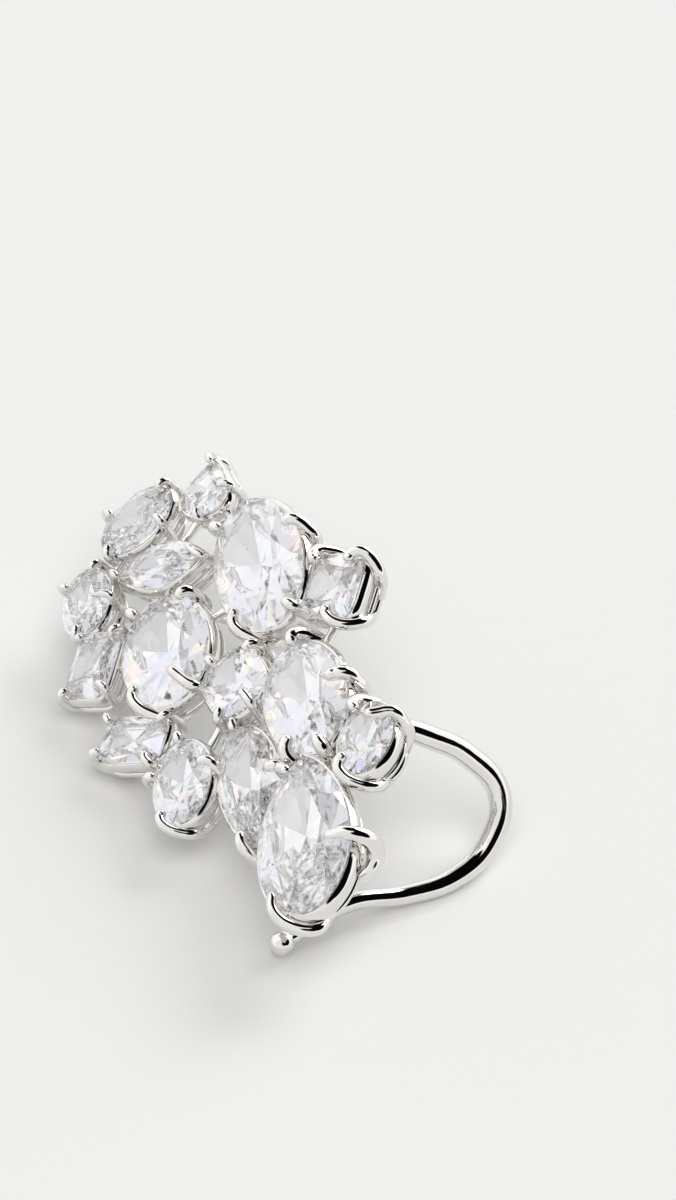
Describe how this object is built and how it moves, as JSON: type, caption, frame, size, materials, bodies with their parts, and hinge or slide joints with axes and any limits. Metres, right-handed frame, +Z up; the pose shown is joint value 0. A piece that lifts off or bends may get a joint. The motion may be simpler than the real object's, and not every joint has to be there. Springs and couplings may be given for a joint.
{
  "type": "ear climber",
  "caption": "Worn ear climber: a leaning cluster of clear stones in open claw baskets, with an ear post and a ball-ended ear hook behind.",
  "frame": {"origin": "middle of the bounding box, on the surface that the earring lies on", "axes": "+X along the cluster toward the hook end, +Y toward the raised long side of the leaning face, +Z up from the surface it lies on"},
  "size_m": [0.0458, 0.026, 0.0179],
  "materials": {
    "plated_brass": "mirror-polished rhodium plate",
    "cubic_zirconia": "faceted and polished"
  },
  "bodies": {
    "root": {"setting": "plated_brass", "stone_top_pear": "cubic_zirconia", "stone_top_oval": "cubic_zirconia", "stone_top_marquise": "cubic_zirconia", "stone_edge_oval_upper": "cubic_zirconia", "stone_edge_emerald": "cubic_zirconia", "stone_centre_oval": "cubic_zirconia", "stone_edge_baguette": "cubic_zirconia", "stone_edge_oval_lower": "cubic_zirconia", "stone_large_oval": "cubic_zirconia", "stone_square": "cubic_zirconia", "stone_middle_round": "cubic_zirconia", "stone_lower_oval": "cubic_zirconia", "stone_hook_oval": "cubic_zirconia", "stone_lower_pear": "cubic_zirconia", "stone_end_drop": "cubic_zirconia"}
  },
  "joints": []
}
